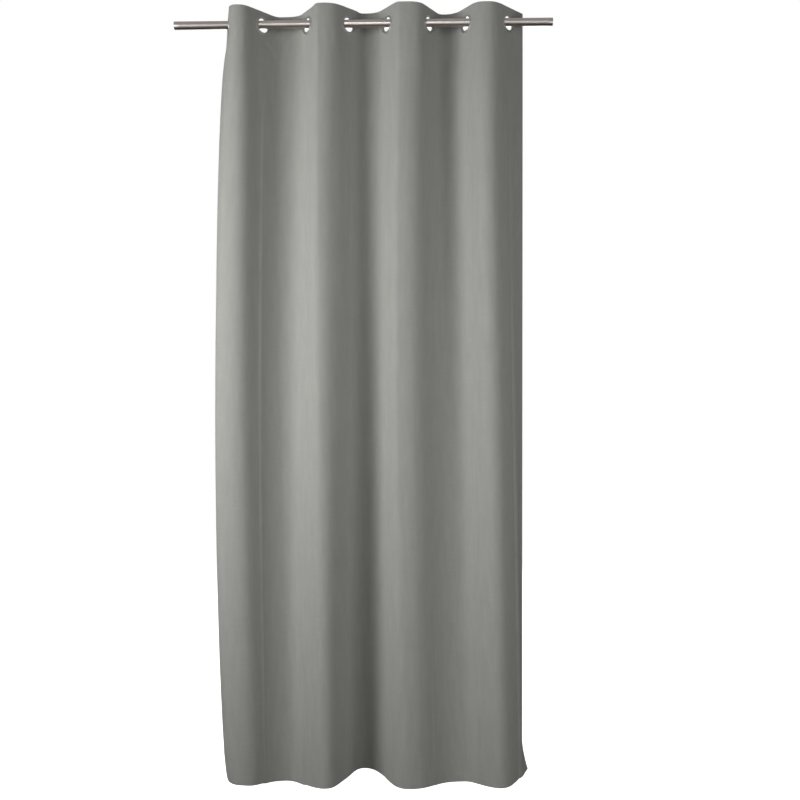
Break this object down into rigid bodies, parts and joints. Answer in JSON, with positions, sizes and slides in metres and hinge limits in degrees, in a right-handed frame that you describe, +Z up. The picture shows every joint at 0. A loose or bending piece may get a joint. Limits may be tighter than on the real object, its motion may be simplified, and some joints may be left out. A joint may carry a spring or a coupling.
{
  "type": "eyelet curtain panel",
  "caption": "Full-length woven curtain panel with a stiffened eyelet heading, hanging in soft pleats on a straight steel rod along which it draws and gathers.",
  "frame": {"origin": "on the rod's axis at its left end, seen from the room", "axes": "+X along the rod to the right, -Y towards the room, +Z up"},
  "size_m": [1.2, 0.1299, 2.45],
  "materials": {
    "cloth": "matt plain weave, grey-green",
    "stiffener": "non-woven band, hidden inside the heading",
    "eyelet": "satin plated, rounded edges",
    "rod_steel": "brushed satin nickel, slightly warm",
    "label": "plain white woven tape"
  },
  "bodies": {
    "rod": {"rod": "rod_steel"},
    "lead_edge": {"cloth_edge": "cloth", "stiffener_edge": "stiffener", "facing_edge": "cloth", "bottom_hem_edge": "cloth", "left_side_hem": "cloth", "eyelet_front_1": "eyelet", "eyelet_back_1": "eyelet"},
    "leaf_1": {"cloth_1": "cloth", "stiffener_1": "stiffener", "facing_1": "cloth", "bottom_hem_1": "cloth"},
    "leaf_2": {"cloth_2": "cloth", "stiffener_2": "stiffener", "facing_2": "cloth", "bottom_hem_2": "cloth", "eyelet_front_2": "eyelet", "eyelet_back_2": "eyelet"},
    "leaf_3": {"cloth_3": "cloth", "stiffener_3": "stiffener", "facing_3": "cloth", "bottom_hem_3": "cloth", "eyelet_front_3": "eyelet", "eyelet_back_3": "eyelet"},
    "leaf_4": {"cloth_4": "cloth", "stiffener_4": "stiffener", "facing_4": "cloth", "bottom_hem_4": "cloth", "eyelet_front_4": "eyelet", "eyelet_back_4": "eyelet"},
    "leaf_5": {"cloth_5": "cloth", "stiffener_5": "stiffener", "facing_5": "cloth", "bottom_hem_5": "cloth", "eyelet_front_5": "eyelet", "eyelet_back_5": "eyelet"},
    "leaf_6": {"cloth_6": "cloth", "stiffener_6": "stiffener", "facing_6": "cloth", "bottom_hem_6": "cloth", "eyelet_front_6": "eyelet", "eyelet_back_6": "eyelet"},
    "leaf_7": {"cloth_7": "cloth", "stiffener_7": "stiffener", "facing_7": "cloth", "bottom_hem_7": "cloth", "eyelet_front_7": "eyelet", "eyelet_back_7": "eyelet"},
    "leaf_8": {"cloth_8": "cloth", "stiffener_8": "stiffener", "facing_8": "cloth", "bottom_hem_8": "cloth", "eyelet_front_8": "eyelet", "eyelet_back_8": "eyelet", "right_side_hem": "cloth", "care_label": "label"}
  },
  "joints": [
    {"name": "draw", "type": "slide", "parent": "rod", "child": "lead_edge", "axis": [1, 0, 0], "range_m": [-0.14, 0.04]},
    {"name": "gather", "type": "hinge", "parent": "lead_edge", "child": "leaf_1", "pos_m": [0.174, 0, 0], "axis": [0, 0, -1], "range_deg": [-3, 36]},
    {"name": "fold_1", "type": "hinge", "parent": "leaf_1", "child": "leaf_2", "pos_m": [0.228, -0.055, 0], "axis": [0, 0, 1], "range_deg": [-6.2, 72.2]},
    {"name": "fold_2", "type": "hinge", "parent": "leaf_2", "child": "leaf_3", "pos_m": [0.353, 0.042, 0], "axis": [0, 0, -1], "range_deg": [-6.2, 72.2]},
    {"name": "fold_3", "type": "hinge", "parent": "leaf_3", "child": "leaf_4", "pos_m": [0.489, -0.049, 0], "axis": [0, 0, 1], "range_deg": [-6.2, 72.2]},
    {"name": "fold_4", "type": "hinge", "parent": "leaf_4", "child": "leaf_5", "pos_m": [0.616, 0.052, 0], "axis": [0, 0, -1], "range_deg": [-6.2, 72.2]},
    {"name": "fold_5", "type": "hinge", "parent": "leaf_5", "child": "leaf_6", "pos_m": [0.744, -0.047, 0], "axis": [0, 0, 1], "range_deg": [-6.2, 72.2]},
    {"name": "fold_6", "type": "hinge", "parent": "leaf_6", "child": "leaf_7", "pos_m": [0.869, 0.054, 0], "axis": [0, 0, -1], "range_deg": [-6.2, 72.2]},
    {"name": "fold_7", "type": "hinge", "parent": "leaf_7", "child": "leaf_8", "pos_m": [0.994, -0.047, 0], "axis": [0, 0, 1], "range_deg": [-6.2, 72.2]}
  ],
  "couplings": [
    {"joint": "fold_1", "follows": "gather", "ratio": 2},
    {"joint": "fold_2", "follows": "gather", "ratio": 2},
    {"joint": "fold_3", "follows": "gather", "ratio": 2},
    {"joint": "fold_4", "follows": "gather", "ratio": 2},
    {"joint": "fold_5", "follows": "gather", "ratio": 2},
    {"joint": "fold_6", "follows": "gather", "ratio": 2},
    {"joint": "fold_7", "follows": "gather", "ratio": 2}
  ]
}
